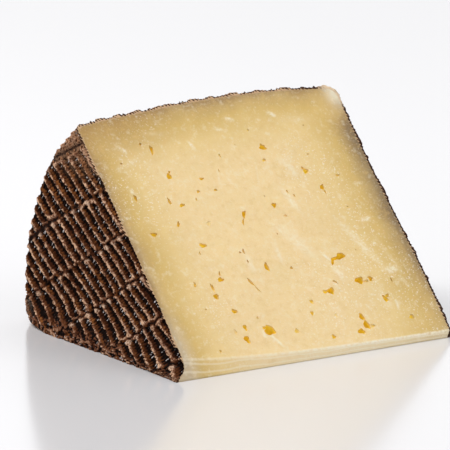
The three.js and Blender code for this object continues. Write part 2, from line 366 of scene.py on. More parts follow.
# The print's seeds, and a length on the side, which parts the ends
LEFT_SEED = 11
RIGHT_SEED = 23
SIDE_SEED = 37
MIDDLE_LENGTH = 150.0

WORN_MOST = 0.6
SIDE_SHALLOWER = 0.35
RIGHT_SHALLOWER = 0.4


def rind_point(length, turn):
    """A place on the rind, at a length along the outline and an angle above the floor. The ends' print
    and the side's blend over the rim by a smooth step of the length. The point is the outline's point
    moved inwards by what the print lacks in height, and turned up from the floor by the angle. Returns
    it, the point RIND_DEPTH inwards, and the shares of the print's parts."""
    x, r, nx, nr = on_outline(length)
    y, z = r * np.cos(turn), r * np.sin(turn)
    on_side = smooth(LEFT_CORNER, LEFT_CORNER + 5, length)
    on_side = on_side * smooth(RIGHT_SEAM + 4, RIGHT_SEAM - 3, length)
    end_high, end_shares = end_print(y, z, np.where(length < MIDDLE_LENGTH, LEFT_SEED, RIGHT_SEED))
    side_high, side_shares = side_print(length, turn, SIDE_SEED)
    high = end_high * (1 - on_side) + side_high * on_side
    shares = end_shares * (1 - on_side) + side_shares * on_side
    high, shares = muddled(high, shares, length, turn, y, z)
    ridge, slope, tooth, knot, groove = shares
    worn = worn_share(length, turn)
    high = high * (1 - WORN_MOST * worn) + WORN_MOST * worn
    ridge = ridge * (1 - WORN_MOST * worn) + WORN_MOST * worn
    knot = knot + 0.8 * worn * (1 - knot)
    shallow = SIDE_SHALLOWER * on_side + RIGHT_SHALLOWER * smooth(RIGHT_SEAM - 4, RIGHT_SEAM + 4, length)
    depth = RELIEF * (1 - shallow) * (1 - np.clip(high, 0, 1.05))

    def inwards(by):
        radius = r - by * nr
        return np.stack([x - by * nx, radius * np.cos(turn), radius * np.sin(turn)], -1)

    return inwards(depth), inwards(RIND_DEPTH), np.stack([ridge, slope, tooth, knot, groove])


# The foot of the left end, which is pressed outwards: how far, how high at the back and at the front,
# and the distances over which it grows and fades
FOOT_FLARE = 3.7
FOOT_HEIGHT = 7.5
FOOT_FRONT = 2.2
FOOT_GROWN = 20.0
FOOT_INSIDE = 22.0
FOOT_CORNER = 84.0

# How much fuller the rim of the left end is, all the way up and near the floor, the share of the angle
# that counts as near, and the distances over which it fades
FULL_TOP = 1.0
FULL_FOOT = 2.5
FULL_LOW = 0.28
FULL_ACROSS = 30.0
FULL_INSIDE = 55.0
FULL_RIM = 92.0

# The radii of the rounded floor edges: at the back, what is added to that at the left, and at the left
# end, which stands out by LEFT_STAND and the foot
BACK_ROUND = 2.6
BACK_ROUND_LEFT = 2.8
LEFT_ROUND = 5.4
LEFT_STAND = 2.3


def settle(points):
    """The wear and sag of the whole wedge, for points in millimetres: the rim of the left end is drawn
    outwards by smooth steps of the distances, and the foot of that end is pressed outwards by a bell
    curve of the height. The floor edges at the back are rounded: what stands out into a corner is
    scaled by its greatest part over its length, which turns a square into a circle."""
    x, y, z = np.moveaxis(np.asarray(points, float), -1, 0)
    r = np.hypot(y, z)
    low = smooth(0, FULL_LOW, 1 - np.arctan2(z, y) / WEDGE_ANGLE)
    fuller = (FULL_TOP + FULL_FOOT * low) * smooth(0, FULL_ACROSS, LEFT_END + FULL_ACROSS - x)
    fuller = 1 + fuller * smooth(FULL_INSIDE, FULL_RIM, r) / np.maximum(r, 1)
    y, z = y * fuller, z * fuller
    inside = smooth(0, FOOT_INSIDE, LEFT_END + FOOT_INSIDE - x)
    corner = smooth(3, CROWN_RADIUS - FOOT_CORNER, CROWN_RADIUS - y)
    height = FOOT_FRONT + (FOOT_HEIGHT - FOOT_FRONT) * smooth(FRONT_EDGE, FOOT_GROWN, y)
    x = x - FOOT_FLARE * inside * corner * np.exp(-((z / height) ** 2))
    back_off = BACK_ROUND + BACK_ROUND_LEFT * smooth(-25, -50, x)
    full = (FULL_TOP + FULL_FOOT) * smooth(0, FULL_ACROSS, LEFT_END + FULL_ACROSS - x)
    back = np.maximum(y - (side_radius(x) + full - back_off), 0)
    left_off = LEFT_ROUND * smooth(68, 88, y)
    left = np.maximum(LEFT_END - LEFT_STAND - FOOT_FLARE * corner + left_off - x, 0) * smooth(66, 80, y)
    low_off = np.maximum(back_off * smooth(0, 0.5, back), left_off * smooth(0, 0.5, left))
    low = np.maximum(low_off - z, 0)
    most = np.maximum(np.maximum(back, low), left)
    length = np.sqrt(back**2 + low**2 + left**2)
    share = np.where(length > 1e-6, most / np.maximum(length, 1e-6), 1.0)
    y = y - back * (1 - share)
    z = z + low * (1 - share)
    x = x + left * (1 - share)
    return np.stack([x, y, z], -1)


MIDDLE_X = (RIGHT_END + left_face(FOOT_CORNER) - FOOT_FLARE) / 2
MIDDLE_Y = (CROWN_RADIUS + FRONT_EDGE) / 2


def to_frame(points):
    """Millimetres from the wheel's axis to metres from the middle of the wedge's footprint."""
    return (settle(points) - [MIDDLE_X, MIDDLE_Y, 0]) / 1000


def quads(rows, columns):
    """The corner numbers of every cell of a grid of rows by columns points."""
    i = np.arange((rows - 1) * (columns - 1))
    at = (i // (columns - 1)) * columns + i % (columns - 1)
    return np.stack([at, at + 1, at + columns + 1, at + columns], -1)


def rim(rows, columns):
    """The point numbers round the border of such a grid, once round."""
    top = np.arange(columns)
    right = np.arange(1, rows) * columns + columns - 1
    bottom = (rows - 1) * columns + np.arange(columns - 2, -1, -1)
    left = np.arange(rows - 2, 0, -1) * columns
    return np.concatenate([top, right, bottom, left])


def piece(name, points, faces, attributes=()):
    """A mesh object from points in metres and lists of faces of three or four corners each."""
    mesh = bpy.data.meshes.new(name)
    corners = np.concatenate([f.ravel() for f in faces])
    sizes = np.concatenate([np.full(len(f), f.shape[1]) for f in faces])
    mesh.vertices.add(len(points))
    mesh.vertices.foreach_set("co", np.ascontiguousarray(points, np.float32).ravel())
    mesh.loops.add(len(corners))
    mesh.loops.foreach_set("vertex_index", corners.astype(np.int32))
    mesh.polygons.add(len(sizes))
    mesh.polygons.foreach_set("loop_start", (np.cumsum(sizes) - sizes).astype(np.int32))
    mesh.update(calc_edges=True)
    for key, values in dict(attributes).items():
        layer = mesh.attributes.new(key, "FLOAT", "POINT")
        layer.data.foreach_set("value", values.astype(np.float32))
    mesh.validate()
    mesh.shade_smooth()
    obj = bpy.data.objects.new(name, mesh)
    bpy.context.scene.collection.objects.link(obj)
    return obj


# How far towards the hub the lid's second ring lies, as shares of x, y and z
LID_SHARES = np.array([0.6, 0.12, 0.12])


def rind_piece(name, lengths, turns, hub):
    """A closed slab of rind: the printed outside as a grid, a wall from its border down to the inner
    skin, and inside the cheese a lid that goes inwards first and then runs to a hub. Each point
    carries the print's shares, and skin: 1 on the printed outside and 0 within."""
    length, turn = np.broadcast_arrays(lengths, turns)
    rows, columns = length.shape
    outer, inner, shares = rind_point(length, turn)
    border = rim(rows, columns)
    count, around = rows * columns, len(border)
    ring = inner.reshape(-1, 3)[border]
    second = ring + (np.array(hub) - ring) * LID_SHARES
    here = count + np.arange(around)
    after = np.roll(here, -1)
    wall = np.stack([np.roll(border, -1), border, here, after], -1)
    shelf = np.stack([after, here, here + around, after + around], -1)
    lid = np.stack([after + around, here + around, np.full(around, count + 2 * around)], -1)
    points = np.concatenate([outer.reshape(-1, 3), ring, second, [hub]])
    values = {}
    for key, part in zip(PRINTS, shares.reshape(len(PRINTS), -1)):
        values[key] = np.concatenate([part, part[border], part[border], [0]])
    values["skin"] = np.concatenate([np.ones(count), np.zeros(2 * around + 1)])
    return piece(name, to_frame(points), [quads(rows, columns), wall, shelf, lid], values)


class Value:
    """An output socket in a node tree. Sums, differences, products and quotients of it are nodes."""

    def __init__(self, tree, socket):
        self.tree = tree
        self.socket = socket

    def node(self, kind, settings=(), **inputs):
        """A new node of a kind: its settings first, then a value or a link for each named input, where
        _0, _1 and so on stand for inputs by number. A colour gets 1 as its fourth number. Returns the
        node's first output in use."""
        made = self.tree.nodes.new(kind)
        for key, value in dict(settings).items():
            if key == "stops":
                stops = made.color_ramp.elements
                while len(stops) < len(value):
                    stops.new(0.5)
                for stop, (position, colour) in zip(stops, value):
                    stop.position = position
                    stop.color = (*colour, 1)
            else:
                setattr(made, key, value)
        for key, value in inputs.items():
            number = key[1:]
            target = made.inputs[int(number)] if number.isdigit() else made.inputs[key.replace("_", " ")]
            if isinstance(value, Value):
                self.tree.links.new(value.socket, target)
            else:
                target.default_value = (*value, 1) if target.type == "RGBA" else value
        return Value(self.tree, next(output for output in made.outputs if output.enabled))

    def other(self, name):
        """Another output of the same node."""
        return Value(self.tree, self.socket.node.outputs[name])

    def read(self, key):
        """A number that the mesh carries at its points."""
        return self.node("ShaderNodeAttribute", {"attribute_name": key}).other("Fac")

    def maths(self, operation, a, b=0.0):
        """One step of the Math node."""
        return self.node("ShaderNodeMath", {"operation": operation}, _0=a, _1=b)

    def __add__(self, other):
        return self.maths("ADD", self, other)

    def __radd__(self, other):
        return self.maths("ADD", other, self)

    def __sub__(self, other):
        return self.maths("SUBTRACT", self, other)

    def __rsub__(self, other):
        return self.maths("SUBTRACT", other, self)

    def __mul__(self, other):
        return self.maths("MULTIPLY", self, other)

    def __rmul__(self, other):
        return self.maths("MULTIPLY", other, self)

    def __truediv__(self, other):
        return self.maths("DIVIDE", self, other)

    def __rtruediv__(self, other):
        return self.maths("DIVIDE", other, self)

    def least(self, other, reach):
        """The smaller of the two, rounded off where they come within reach of each other."""
        return self.node("ShaderNodeMath", {"operation": "SMOOTH_MIN"}, _0=self, _1=other, _2=reach)

    def step(self, low, high):
        """0 at low and 1 at high, smoothly; low may be the larger."""
        settings = {"interpolation_type": "SMOOTHSTEP"}
        if isinstance(low, Value) or low < high:
            return self.node("ShaderNodeMapRange", settings, _0=self, _1=low, _2=high)
        return self.node("ShaderNodeMapRange", settings, _0=self, _1=high, _2=low, _3=1.0, _4=0.0)

    def grain(self, scale, detail=2.0, roughness=0.5):
        """Noise from 0 to 1 with so many waves a metre, read at this vector."""
        return self.node("ShaderNodeTexNoise", Vector=self, Scale=scale, Detail=detail, Roughness=roughness)

    def tint(self, *layers):
        """This colour mixed towards others one after another, each by its share."""
        mixed = self
        for share, colour in layers:
            mixed = mixed.node("ShaderNodeMix", {"data_type": "RGBA"}, _0=share, _6=mixed, _7=colour)
        return mixed


def material(name, colour=(0.5, 0.5, 0.5), **sockets):
    """A new material with a Principled shader and values for its inputs. Returns it, a Value that nodes
    are made from, and a function that links a Value to one of the shader's inputs."""
    made = bpy.data.materials.new(name)
    made.use_nodes = True
    tree = made.node_tree
    shader = tree.nodes["Principled BSDF"]
    shader.inputs["Base Color"].default_value = (*colour, 1)
    for key, value in sockets.items():
        shader.inputs[key.replace("_", " ")].default_value = value

    def feed(key, value):
        tree.links.new(value.socket, shader.inputs[key])

    return made, Value(tree, None), feed


def flat(start, colour):
    """A colour as a mix of itself, so that it can be tinted."""
    return start.node("ShaderNodeMix", {"data_type": "RGBA"}, _0=0.0, _6=colour)


# The rind's colours, as light reflected
SLOT_DARK = (0.006, 0.0026, 0.0018)
# A painted sheen: the grey shine of oil in the slots
PAINTED_SLOT_SHEEN = (0.045, 0.036, 0.038)
SLOPE_RED = (0.045, 0.012, 0.004)
SLOPE_ORANGE = (0.26, 0.09, 0.024)
RIDGE_BROWN = (0.15, 0.056, 0.027)
RIDGE_TAN = (0.7, 0.44, 0.28)
KNOT_PALE = (0.66, 0.47, 0.34)
CUT_TAN = (0.58, 0.38, 0.22)
CUT_DARK = (0.045, 0.02, 0.013)
CORNER_PALE = (0.78, 0.6, 0.4)
# A painted highlight: the white glint of oil on the teeth
PAINTED_GLINT = (0.85, 0.78, 0.76)
WORN_BROWN = (0.42, 0.22, 0.12)
GROOVE_DARK = (0.03, 0.014, 0.01)

# The pitch of the dark beads along the cut edge, in millimetres
CUT_PITCH = 1.3


def rind_finish():
    """Dark slots with a painted grey sheen of oil, red-brown slopes, tan ridges with pale knots, and
    painted white glints of oil on the teeth. Higher up, the rind is rubbed lighter. Its cut edge is tan
    with dark beads, and one corner is worn pale."""
    made, start, feed = material("oiled_rind", Specular_IOR_Level=0.03, Coat_Roughness=0.16)
    place = start.node("ShaderNodeTexCoord").other("Object")
    ridge, slope, tooth, knot, groove, skin = (start.read(key) for key in (*PRINTS, "skin"))
    blotch = place.grain(160.0, 3.0)
    fine = place.grain(1300.0, 3.0, 0.6)
    speck = place.grain(2300.0, 1.0)
    across = start.node("ShaderNodeSeparateXYZ", Vector=place)
    deep = across.other("Y")
    high = across.other("Z")
    rubbed = high.step(0.03, 0.062)
    orange = slope.step(0.3 - rubbed * 0.15, 0.8 - rubbed * 0.25) * (blotch.step(0.35, 0.7) + rubbed * 0.4)
    crest = ridge.step(0.6, 1.0) * fine.step(0.42, 0.56) * (blotch * 1.5 + 0.1 + rubbed * 0.4)
    worn = high.step(0.05, 0.064) * across.step(-0.038, -0.048)
    # Painted glints: spots on the teeth tinted near white in the colour, and also made glossier by the coat
    # and a lower roughness
    gloss_and_painted_glint = tooth.step(0.5, 0.85) * speck.step(0.45, 0.56)
    wall = skin.step(0.985, 0.93)
    under = high.step(0.0016, 0.0006)
    edge = across + deep * CUT_OUT + high * CUT_UP
    beads = start.maths("SINE", edge * (2000 * np.pi / CUT_PITCH) + blotch * 9.0)
    dark = skin + fine * 1.5 + beads * 0.3 + (across.step(0.03, 0.042) + under) * 0.5 + tooth * 0.5 - 0.3
    sunk = (deep + MIDDLE_Y / 1000) * CUT_UP - high * CUT_OUT
    bare = (high + fine * 0.003).step(0.0665, 0.0695) * across.step(0.044, 0.048)
    bare = bare * (sunk + fine * 0.005).step(0.0045, 0.003)
    colour = flat(start, SLOT_DARK).tint(
        # Painted sheen of oil over the teeth in the slots
        (tooth.step(0.1, 0.5) * fine.step(0.45, 0.7) * 0.7, PAINTED_SLOT_SHEEN),
        (slope.step(0.1, 0.4), SLOPE_RED),
        (orange * fine.step(0.35, 0.6), SLOPE_ORANGE),
        (ridge.step(0.25, 0.6), RIDGE_BROWN),
        (crest, RIDGE_TAN),
        (knot * fine.step(0.4, 0.56) * 0.75, KNOT_PALE),
        (worn * fine.step(0.38, 0.6) * 0.75, WORN_BROWN),
        (gloss_and_painted_glint * 0.9, PAINTED_GLINT),
        (groove * 0.8, GROOVE_DARK),
        (wall, CUT_TAN),
        (dark.step(0.98, 1.15) * wall, CUT_DARK),
        (bare * 0.9, CORNER_PALE),
    )
    feed("Base Color", colour)
    feed("Roughness", 0.65 - gloss_and_painted_glint * 0.35 + fine * 0.15)
    feed("Coat Weight", gloss_and_painted_glint * 0.9 + ridge.step(0.5, 0.9) * speck.step(0.5, 0.62) * 0.3)
    feed("Normal", start.node("ShaderNodeBump", Strength=0.6, Distance=0.00025, Height=fine + speck * 0.5))
    return made


rind_material = rind_finish()


def dress(obj, finish):
    """Gives a piece its finish and its place: part of the cheese, in front of the plain wedge."""
    obj.data.materials.append(finish)
    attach(obj, "root")
    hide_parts("cheese_wedge")


turns = np.linspace(0, WEDGE_ANGLE, 236)
share = np.linspace(0, 1, 342)[:, None]
strip_at = left_length(front_radius(LEFT_END, turns))
lengths = strip_at + (LEFT_SEAM - strip_at) * share
rind_left = rind_piece("rind_left_end", lengths, turns, (LEFT_END + 9, 50.0, 22.0))
dress(rind_left, rind_material)

# The rind of the wheel's round side.
# It is the same hardened outside of the cheese, rubbed with oil. A band of plaited grass, which held
# the curd in while it was pressed, left its zigzag print.

turns = np.linspace(0, WEDGE_ANGLE, 212)
lengths = np.linspace(LEFT_SEAM, RIGHT_SEAM, 276)[:, None]
rind_side = rind_piece("rind_side", lengths, turns, (0.0, 55.0, 24.0))
dress(rind_side, rind_material)

# The rind of the right end, the wheel's other flat face.
# It is the cheese's own hardened outside too, oiled like the rest. A mat like that of the left end
# printed it, less deeply.

turns = np.linspace(0, WEDGE_ANGLE, 190)
share = np.linspace(0, 1, 270)[:, None]
strip_at = right_length(front_radius(RIGHT_END, turns))
lengths = RIGHT_SEAM + (strip_at - RIGHT_SEAM) * share
rind_right = rind_piece("rind_right_end", lengths, turns, (RIGHT_END - 8, 50.0, 22.0))
dress(rind_right, rind_material)

# The paste, which is the inside of the cheese.
# It is sheep's milk curd, pressed and then cured until it is firm, pale and slightly oily. Two knife
# cuts made its faces, and small uneven holes, the eyes, open on the upper one.

LEFT_BEND = LEFT_RIM - RIND_DEPTH
RIGHT_BEND = RIGHT_RIM - RIND_DEPTH


def paste_point(across, out, up):
    """A place in the paste from three shares: across from the left rind to the right one, out from the
    strip at the front to the side, and up from the lower cut to the upper one. The ends curve in to
    the side by quarter circles. x and r depend on each other, so both are found in three rounds."""
    turn = up * WEDGE_ANGLE
    x = LEFT_END + RIND_DEPTH + across * (RIGHT_END - LEFT_END - 2 * RIND_DEPTH)
    for _ in range(3):
        inner = front_radius(x, turn)
        outer = side_radius(np.clip(x, LEFT_TURN, RIGHT_TURN)) - RIND_DEPTH
        r = inner + out * (outer - inner)
        left_bend = np.clip(r - (outer - LEFT_BEND), 0, LEFT_BEND)
        right_bend = np.clip(r - (outer - RIGHT_BEND), 0, RIGHT_BEND)
        left_round = LEFT_BEND - np.sqrt(LEFT_BEND**2 - left_bend**2)
        right_round = RIGHT_BEND - np.sqrt(RIGHT_BEND**2 - right_bend**2)
        left = left_face(np.minimum(r, LEFT_CORNER)) + RIND_DEPTH + left_round
        right = right_face(r) - RIND_DEPTH - right_round
        x = left + across * (right - left)
    return np.stack([x, r * np.cos(turn), r * np.sin(turn)], -1)


# The points of the paste's grid across and outwards, and its levels downwards
ACROSS = 286
OUT = 252
UP = 10


def cut_place(points):
    """x, and the distance s out from the axis along the upper cut."""
    x, y, z = np.moveaxis(points, -1, 0)
    return x, y * CUT_OUT + z * CUT_UP


# Pale smears that the knife left, and painted highlights at the rims of some eyes: x, s, half length, half
# width, tilt in degrees, strength
SMEARS_AND_HIGHLIGHTS = [
    (15, 57, 6.5, 1.6, -60, 0.75), (1.9, 38.8, 5.5, 1.5, -75, 0.6), (6, 47, 6.5, 1, -50, 0.6),
    (10.6, 42, 12, 3.4, -42, 0.6), (-12.2, 9.4, 4.6, 0.7, -48, 0.9), (33.5, 38.5, 15, 2, -58, 0.62),
    (-12.2, 81.2, 2.2, 0.9, -50, 0.9), (22, 89, 1.7, 1.2, 0, 1), (5.6, 89, 1.8, 1.3, 20, 0.8),
    (0, 85.8, 2.4, 1.2, 10, 0.6), (-37.6, 82, 1.6, 1.6, 0, 0.7), (39.6, 46.6, 2.4, 1.2, 30, 0.9),
    (41, 27.5, 3.2, 2.4, 50, 0.8), (43.5, 22.5, 1.6, 2.6, 0, 0.6), (37, 15, 1, 1.8, -20, 0.9),
    (18.6, 35.4, 1, 2.2, 20, 0.9), (17.8, 25.2, 1.8, 1, -50, 1), (-40.4, 66.6, 1.6, 2.2, 0, 0.7),
    (-27, 72, 1.2, 1.6, 0, 0.6), (-9.6, 36, 2.6, 0.6, -60, 0.7), (29, 19.8, 2.2, 0.7, 10, 0.6),
    (21.4, 28.6, 1.4, 0.9, 0, 0.7), (7, 68, 8, 0.6, 78, 0.4), (-7.4, 69, 3.4, 0.6, 85, 0.6),
    (-24.8, 46, 1.6, 1.4, 30, 0.5), (-4, 56.8, 1.2, 0.7, 30, 0.7), (-15.5, 12, 1.8, 1, -60, 0.8),
    (-38, 77, 7, 2.2, 35, 0.4), (30, 86, 9, 2.6, 10, 0.35), (-24, 87, 7, 1.8, 5, 0.35),
    (42, 33, 2, 9, 10, 0.4), (-46.5, 40, 2.4, 22, 0, 0.28), (20, 69, 6, 2.4, -38, 0.58),
    (-10, 37.2, 5, 2, -70, 0.58), (20.6, 29, 3.6, 2, -30, 0.7), (32.8, 18.5, 6, 2.8, -35, 0.5),
]


def smears_and_highlights(x, s):
    """Strength of the smears and painted highlights at x, s: the greatest of bell curves over ellipses that
    a sine bends.
    """
    total = np.zeros_like(x)
    for cx, cs, half, wide, tilt, strength in SMEARS_AND_HIGHLIGHTS:
        c, d = np.cos(np.radians(tilt)), np.sin(np.radians(tilt))
        along = ((x - cx) * c + (s - cs) * d) / half
        aside = ((s - cs) * c - (x - cx) * d) / wide + 0.5 * np.sin(along * 2.2)
        total = np.maximum(total, strength * np.exp(-1.3 * (along**2 + aside**2)))
    return total


def paste_body():
    """The top, the four sides and the bottom of the paste. The top is a fine grid, moved along its normal
    by three sizes of noise, by a noise drawn out along the knife's way and by the smears and painted
    highlights. The sides are rings that share its border, the lowest drawn in under the rind. The bottom is
    one more ring and a fan of triangles round its middle."""
    a, o = np.meshgrid(np.linspace(0, 1, ACROSS), np.linspace(0, 1, OUT), indexing="ij")
    top = paste_point(a, o, 1.0)
    edge = np.minimum(np.minimum(a, 1 - a) * 105, np.minimum(o, 1 - o) * 95)
    x, s = cut_place(top)
    wave = 0.3 * (noise(x / 17, s / 13, 61) - 0.5) + 0.12 * (noise(x / 5, s / 4, 62) - 0.5)
    wave = wave + 0.05 * (noise(x / 1.6, s / 1.6, 63) - 0.5)
    wave = wave + 0.05 * (noise((x * 0.85 + s * 0.53) / 7, (s * 0.85 - x * 0.53) / 0.9, 64) - 0.5)
    smear = smears_and_highlights(x, s)
    wave = (wave - 0.05 + 0.1 * smear) * smooth(0, 3, edge)
    top = top + wave[..., None] * [0, -CUT_UP, CUT_OUT]
    border = rim(ACROSS, OUT)
    up = np.linspace(1, 0, UP)[1:, None]
    a_side, o_side = a.ravel()[border][None], o.ravel()[border][None]
    foot = smooth(0.15, 0, up) * smooth(0.15, 0, a_side) * smooth(0.8, 1, o_side)
    under = 0.022 * smooth(0.002, 0.02, o_side) + 0.04 * foot
    sides = paste_point(a_side + under * (1 - 2 * a_side), np.minimum(o_side, 0.984) - 0.035 * foot, up)
    count, around = ACROSS * OUT, len(border)
    rings = np.concatenate([border[None], count + np.arange(UP * around).reshape(UP, around)])
    rings = np.concatenate([rings, rings[:, :1]], axis=1)
    wall = np.stack([rings[:-1, 1:], rings[:-1, :-1], rings[1:, :-1], rings[1:, 1:]], -1).reshape(-1, 4)
    middle = np.array([[2.0, 48.0, 0.0]])
    below = sides[-1] + (middle - sides[-1]) * 0.12
    last = rings[-1]
    fan = np.stack([last[1:], last[:-1], np.full(around, count + UP * around)], -1)
    points = np.concatenate([top.reshape(-1, 3), sides.reshape(-1, 3), below, middle])
    values = np.concatenate([smear.ravel(), np.zeros(UP * around + 1)])
    faces = [quads(ACROSS, OUT)[:, ::-1], wall[:, ::-1], fan[:, ::-1]]
    return piece("paste", to_frame(points), faces, {"smear": values})


paste = paste_body()

# The eyes on the upper cut: x, s, width, height, tilt in degrees and depth. Larger holes are made of
# several that run together.
EYES = [
    (24, 34.8, 4, 2.3, 18, 1.9), (21.6, 34.3, 2.4, 1.3, 10, 1.3), (20.3, 33.3, 1.3, 2.6, -20, 1.3),
    (27, 25.3, 3.6, 2.5, -8, 1.8), (31.3, 25.3, 1.8, 2, 20, 1.2), (29.4, 24.7, 2, 0.9, 0, 0.6),
    (15.1, 23.2, 2.6, 2.5, 0, 1.7), (12.9, 23.3, 2.2, 1.3, 0, 1), (17.9, 26.1, 2.3, 0.8, -40, 0.5),
    (22.1, 12.7, 1.7, 2.8, 8, 1.6), (22.6, 9.6, 2.4, 3, 20, 1.8), (19.7, 7.7, 2.8, 1.9, -15, 1.6),
    (24.6, 8.9, 1.8, 1.3, 10, 0.6), (-13, 13.1, 4, 3.5, -25, 2), (-14.6, 14.3, 1.4, 1.2, 0, 0.9),
    (-21.3, 15.3, 1.4, 2.4, 10, 1.2), (-22.4, 11.2, 2, 2.9, 15, 1.7), (33.7, 17.6, 1.7, 2.7, 25, 1.2),
    (34.8, 18.6, 1.6, 1.2, 20, 0.8), (40.4, 9.9, 1.9, 1.7, 30, 0.8), (13.4, 77.3, 2.6, 2, 0, 1.6),
    (13.1, 78.2, 1.1, 1.2, 0, 1), (11.8, 72.7, 1.5, 1.1, 15, 0.7), (25.4, 66.8, 2.1, 1.9, 20, 1.1),
    (24.6, 68, 0.9, 1.1, 0, 0.7), (28.8, 60.2, 1.8, 2, 0, 1.4), (29.2, 58.3, 0.6, 1.9, 5, 0.8),
    (36.5, 63.7, 1.7, 0.8, 0, 0.6), (8.1, 56.1, 1.8, 2, 0, 1.2), (10.5, 51.8, 1.5, 0.9, 0, 0.4),
    (-4.2, 54.4, 1.4, 2.9, -25, 1.4), (-5.6, 51.8, 0.7, 2.6, -20, 0.9), (-25.1, 71.3, 1.9, 2.2, 0, 1.4),
    (-24.4, 72.8, 0.8, 1.3, -30, 0.8), (-27.4, 81.3, 1.2, 3.6, -8, 1.2), (-30.6, 83.7, 0.9, 1.3, -25, 0.6),
    (-40.4, 65, 1.1, 2.6, 0, 1), (-28.9, 62.5, 1, 2.6, 8, 1.1), (-24.9, 60.6, 2.2, 1.2, 12, 1),
    (-13.9, 69, 1.8, 1, 0, 0.9), (-17, 64.7, 1.2, 1.1, 0, 0.8), (-10.6, 64.4, 1.3, 0.9, 10, 0.8),
    (-18.9, 62, 0.7, 1.1, 0, 0.6), (-29.2, 54.1, 1, 2.3, -22, 0.9), (-39.4, 51.7, 2.3, 1.6, -10, 1.1),
    (-18.2, 53, 2.2, 1.7, 20, 0.4), (-23.7, 45.6, 2.8, 1.6, -8, 1.1), (-26, 43, 0.6, 1.3, 0, 0.5),
    (-10.3, 41.4, 0.8, 2, 0, 0.6), (-11.7, 41.2, 0.8, 0.8, 0, 0.5), (-10.4, 37.7, 0.5, 1.4, 0, 0.4),
    (-4.4, 34.8, 1.7, 3.2, 10, 1.4), (4.4, 33.3, 1, 1.1, 0, 0.8), (-22.7, 32.9, 2.2, 1.7, 0, 1.2),
    (-22.2, 35, 0.7, 1.7, -15, 0.7), (-32.5, 32.5, 1, 1.9, -10, 0.7), (-26.9, 27.3, 1.9, 2.2, 0, 1.3),
    (-26.8, 30.4, 1, 3.4, 4, 0.9), (-12.4, 30.4, 1, 3.4, 30, 0.8), (-11, 27.6, 0.6, 2.6, 30, 0.5),
    (38.9, 23.7, 0.6, 1.9, 0, 0.5), (-22.7, 21.4, 2.2, 1.6, -10, 1.1), (-32.4, 23.5, 0.6, 0.6, 0, 0.4),
    (-15.5, 18, 0.8, 0.9, 0, 0.5), (6.4, 20.6, 1.3, 1.8, 20, 0.8), (4.7, 16.6, 1.2, 1.8, 0, 0.9),
    (13, 14.6, 1.2, 1.8, 30, 0.4), (-25.4, 14.2, 1.1, 2.2, 0, 0.4), (-3.5, 11.4, 1.7, 1.7, 0, 0.7),
    (8.8, 7.4, 1.6, 1.6, -30, 1), (-33.5, 8.7, 0.8, 1.1, 0, 0.6), (34.9, 51.9, 0.9, 0.8, 0, 0.4),
    (15.2, 60.3, 0.6, 1.4, 10, 0.6), (17.1, 58.5, 0.6, 1.3, 10, 0.5), (28.9, 72.7, 0.8, 0.6, 0, 0.4),
    (32, 83.4, 0.5, 0.5, 0, 0.5), (-3.7, 76.4, 0.7, 1.7, 10, 0.6), (10.7, 84.2, 0.9, 1.1, 0, 0.5),
    (4.6, 45.8, 0.4, 0.7, 0, 0.4), (3.6, 79.6, 0.7, 0.7, 0, 0.3), (-6.4, 71, 0.5, 1.2, 0, 0.4),
    (30.8, 36.2, 0.5, 0.5, 0, 0.4), (-40.3, 77.4, 1, 0.8, 0, 0.3), (6, 59.8, 0.6, 0.6, 0, 0.3),
]


# The points round an eye, the levels down it, how far it is sunk, as a share of its depth, and the
# angle from which its edge is sharp
EYE_ROUNDS = 22
EYE_LEVELS = 13
EYE_SUNK = 0.12
EYE_SHARP = np.radians(38)


def eye(number, x, s, width, height, tilt, depth):
    """A hole as a closed body: a sphere of a given width, height and depth, turned by its tilt, with
    its surface moved in and out by sine waves round it, one of which changes on the way down."""
    around = np.linspace(0, 2 * np.pi, EYE_ROUNDS + 1)[:-1][None]
    down = np.linspace(0, np.pi, EYE_LEVELS)[1:-1, None]
    turned = 6.28 * lattice(number, 1, 5)
    swell = 1 + 0.15 * np.sin(3 * around + turned) + 0.09 * np.sin(5 * around - 2 * turned)
    swell = swell + 0.08 * np.sin(2 * around + 3 * turned) * np.cos(3 * down + turned)
    a = np.sin(down) * np.cos(around) * swell * width / 2
    b = np.sin(down) * np.sin(around) * swell * height / 2
    c = np.cos(down) * (1 + 0.1 * np.sin(2 * around + turned)) * depth
    poles = np.array([[0, 0, depth], [0, 0, -depth]])
    local = np.concatenate([np.stack([a, b, c], -1).reshape(-1, 3), poles])
    lean = np.radians(tilt)
    along = x + local[:, 0] * np.cos(lean) - local[:, 1] * np.sin(lean)
    out = s + local[:, 0] * np.sin(lean) + local[:, 1] * np.cos(lean)
    high = local[:, 2] - EYE_SUNK * depth
    points = np.stack([
        along,
        out * CUT_OUT - high * CUT_UP,
        out * CUT_UP + high * CUT_OUT,
    ], -1)
    grid = np.arange((EYE_LEVELS - 2) * EYE_ROUNDS).reshape(-1, EYE_ROUNDS)
    grid = np.concatenate([grid, grid[:, :1]], axis=1)
    belt = np.stack([grid[:-1, :-1], grid[1:, :-1], grid[1:, 1:], grid[:-1, 1:]], -1).reshape(-1, 4)
    north = np.stack([grid[0, :-1], grid[0, 1:], np.full(EYE_ROUNDS, len(local) - 2)], -1)
    south = np.stack([grid[-1, 1:], grid[-1, :-1], np.full(EYE_ROUNDS, len(local) - 1)], -1)
    return piece("eye", to_frame(points), [belt, north, south])


